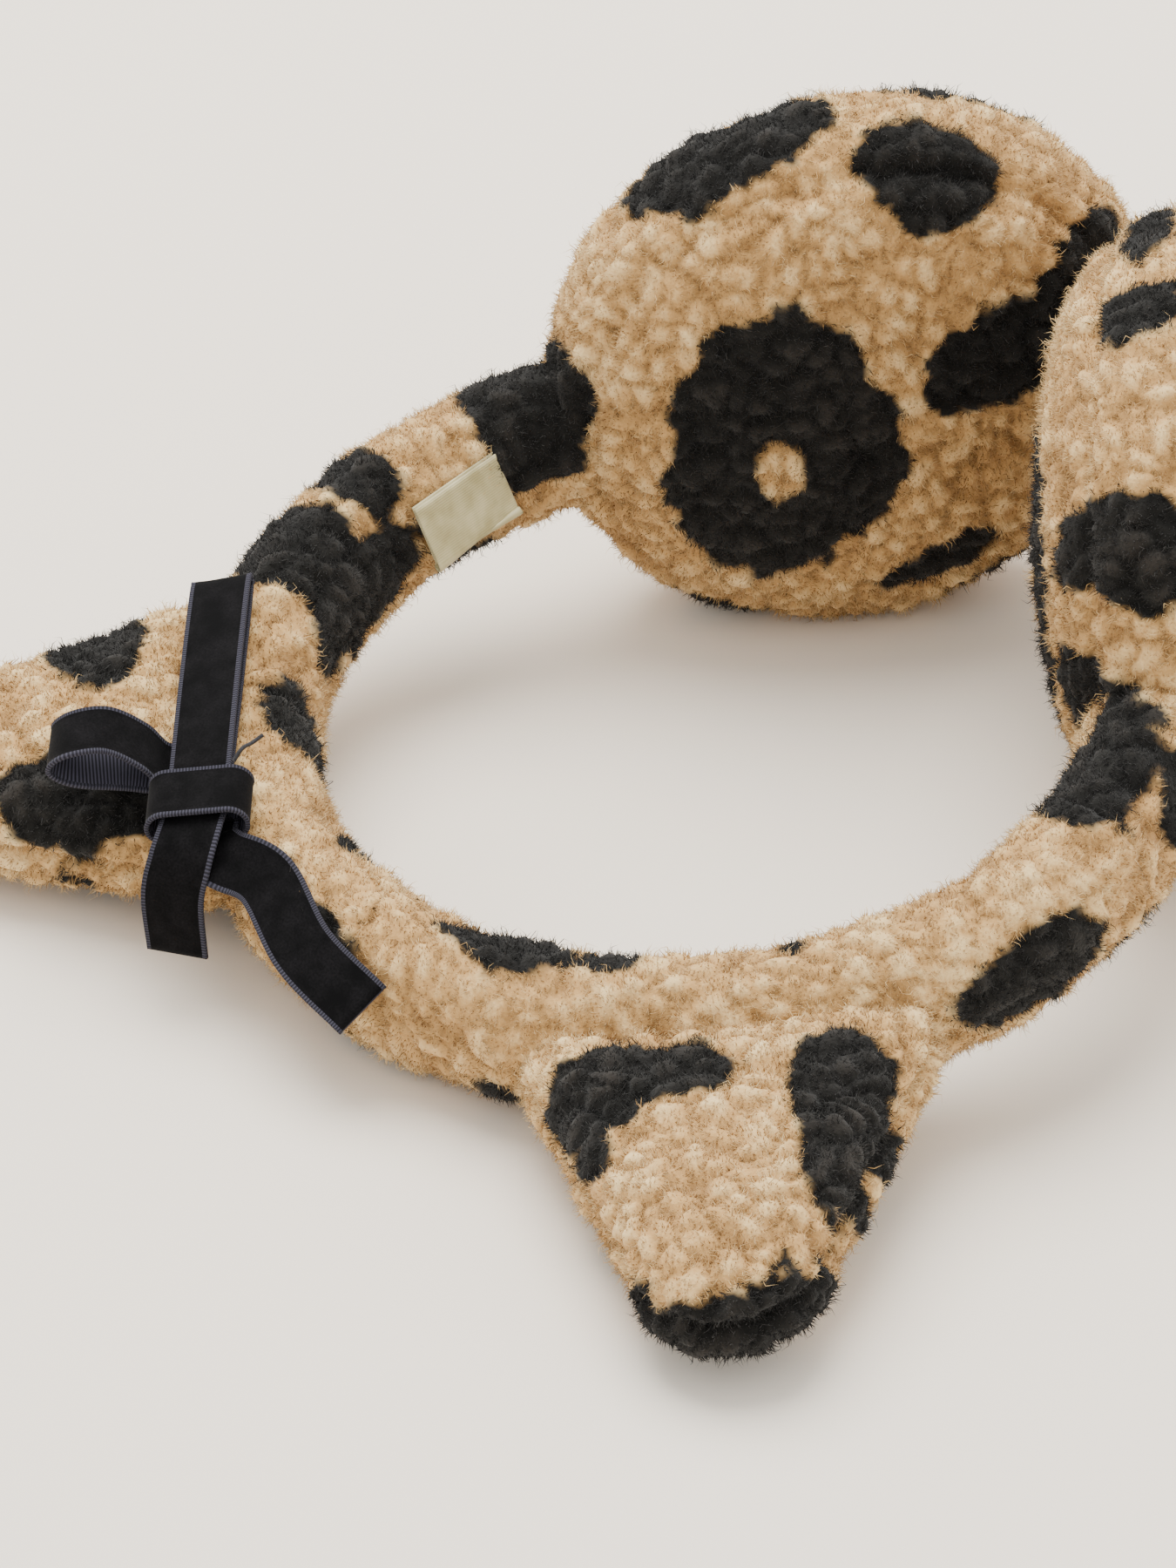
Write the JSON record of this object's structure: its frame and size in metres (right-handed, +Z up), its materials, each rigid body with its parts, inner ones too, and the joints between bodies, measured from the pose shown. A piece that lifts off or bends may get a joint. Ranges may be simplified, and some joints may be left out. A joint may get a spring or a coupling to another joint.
{
  "type": "plush earmuffs with animal ears",
  "caption": "Spotted pile-fabric earmuffs: a sprung padded headband with stuffed animal ears, a ribbon bow and a round padded cup at each end.",
  "frame": {"origin": "middle of the object's footprint on the table it lies on", "axes": "+X to the object's right cup, +Y from the crown of the band to the cups, +Z up from the table"},
  "size_m": [0.2036, 0.2142, 0.0964],
  "materials": {
    "teddy_tan": "tan and black spotted bouclé pile",
    "foam": "open-cell foam",
    "wadding": "polyester wadding",
    "spring_plastic": "moulded",
    "plate_plastic": "moulded",
    "rivet_brass": "plated",
    "velvet": "velvet ribbon",
    "thread": "twisted thread",
    "label_satin": "woven satin"
  },
  "bodies": {
    "crown": {"band_spring_crown": "spring_plastic", "band_foam_crown": "foam", "band_sleeve_crown": "teddy_tan"},
    "left_shoulder": {"band_spring_left_shoulder": "spring_plastic", "band_foam_left_shoulder": "foam", "band_sleeve_left_shoulder": "teddy_tan", "left_ear_front": "teddy_tan", "left_ear_back": "teddy_tan", "left_ear_wadding": "wadding", "bow_upper_loop": "velvet", "bow_side_loop": "velvet", "bow_knot": "velvet", "bow_lower_tail": "velvet", "bow_side_tail": "velvet", "bow_thread": "thread"},
    "left_arm": {"band_spring_left_arm": "spring_plastic", "band_foam_left_arm": "foam", "band_sleeve_left_arm": "teddy_tan", "care_label": "label_satin"},
    "left_band_end": {"left_band_end": "spring_plastic", "left_rivet": "rivet_brass", "left_washer": "rivet_brass"},
    "left_cup": {"left_ear_plate": "plate_plastic", "left_inner_pad": "foam", "left_cup_wadding": "wadding", "left_cup_inner_cover": "teddy_tan", "left_cup_gusset": "teddy_tan", "left_cup_outer_cover": "teddy_tan"},
    "right_shoulder": {"band_spring_right_shoulder": "spring_plastic", "band_foam_right_shoulder": "foam", "band_sleeve_right_shoulder": "teddy_tan", "right_ear_front": "teddy_tan", "right_ear_back": "teddy_tan", "right_ear_wadding": "wadding"},
    "right_arm": {"band_spring_right_arm": "spring_plastic", "band_foam_right_arm": "foam", "band_sleeve_right_arm": "teddy_tan"},
    "right_band_end": {"right_band_end": "spring_plastic", "right_rivet": "rivet_brass", "right_washer": "rivet_brass"},
    "right_cup": {"right_ear_plate": "plate_plastic", "right_inner_pad": "foam", "right_cup_wadding": "wadding", "right_cup_inner_cover": "teddy_tan", "right_cup_gusset": "teddy_tan", "right_cup_outer_cover": "teddy_tan"}
  },
  "joints": [
    {"name": "left_crown_flex", "type": "hinge", "parent": "crown", "child": "left_shoulder", "pos_m": [-0.01788, -0.08585, 0.01087], "axis": [0, -0.2335, 0.9723], "range_deg": [0, 16], "stiffness_Nm_per_rad": 1.6, "deforming": ["bow_side_tail"]},
    {"name": "left_arm_flex", "type": "hinge", "parent": "left_shoulder", "child": "left_arm", "pos_m": [-0.08278, -0.02451, 0.0256], "axis": [0, -0.2335, 0.9723], "range_deg": [0, 12], "stiffness_Nm_per_rad": 1.3},
    {"name": "left_cup_tilt", "type": "hinge", "parent": "left_arm", "child": "left_band_end", "pos_m": [-0.07535, 0.03005, 0.03871], "axis": [0, -0.2335, 0.9723], "range_deg": [0, 10], "stiffness_Nm_per_rad": 0.4},
    {"name": "left_cup_swivel", "type": "hinge", "parent": "left_band_end", "child": "left_cup", "pos_m": [-0.03689, 0.06333, 0.0467], "axis": [-0.809, 0.5715, 0.1373], "range_deg": [-12, 12], "stiffness_Nm_per_rad": 0.08},
    {"name": "right_crown_flex", "type": "hinge", "parent": "crown", "child": "right_shoulder", "pos_m": [0.01788, -0.08585, 0.01087], "axis": [0, 0.2335, -0.9723], "range_deg": [0, 16], "stiffness_Nm_per_rad": 1.6},
    {"name": "right_arm_flex", "type": "hinge", "parent": "right_shoulder", "child": "right_arm", "pos_m": [0.08278, -0.02451, 0.0256], "axis": [0, 0.2335, -0.9723], "range_deg": [0, 12], "stiffness_Nm_per_rad": 1.3},
    {"name": "right_cup_tilt", "type": "hinge", "parent": "right_arm", "child": "right_band_end", "pos_m": [0.07535, 0.03005, 0.03871], "axis": [0, 0.2335, -0.9723], "range_deg": [0, 10], "stiffness_Nm_per_rad": 0.4},
    {"name": "right_cup_swivel", "type": "hinge", "parent": "right_band_end", "child": "right_cup", "pos_m": [0.03689, 0.06333, 0.0467], "axis": [0.809, 0.5715, 0.1373], "range_deg": [-12, 12], "stiffness_Nm_per_rad": 0.08}
  ],
  "couplings": [
    {"joint": "right_crown_flex", "follows": "left_crown_flex", "ratio": 1},
    {"joint": "left_arm_flex", "follows": "left_crown_flex", "ratio": 0.75},
    {"joint": "right_arm_flex", "follows": "left_crown_flex", "ratio": 0.75}
  ]
}
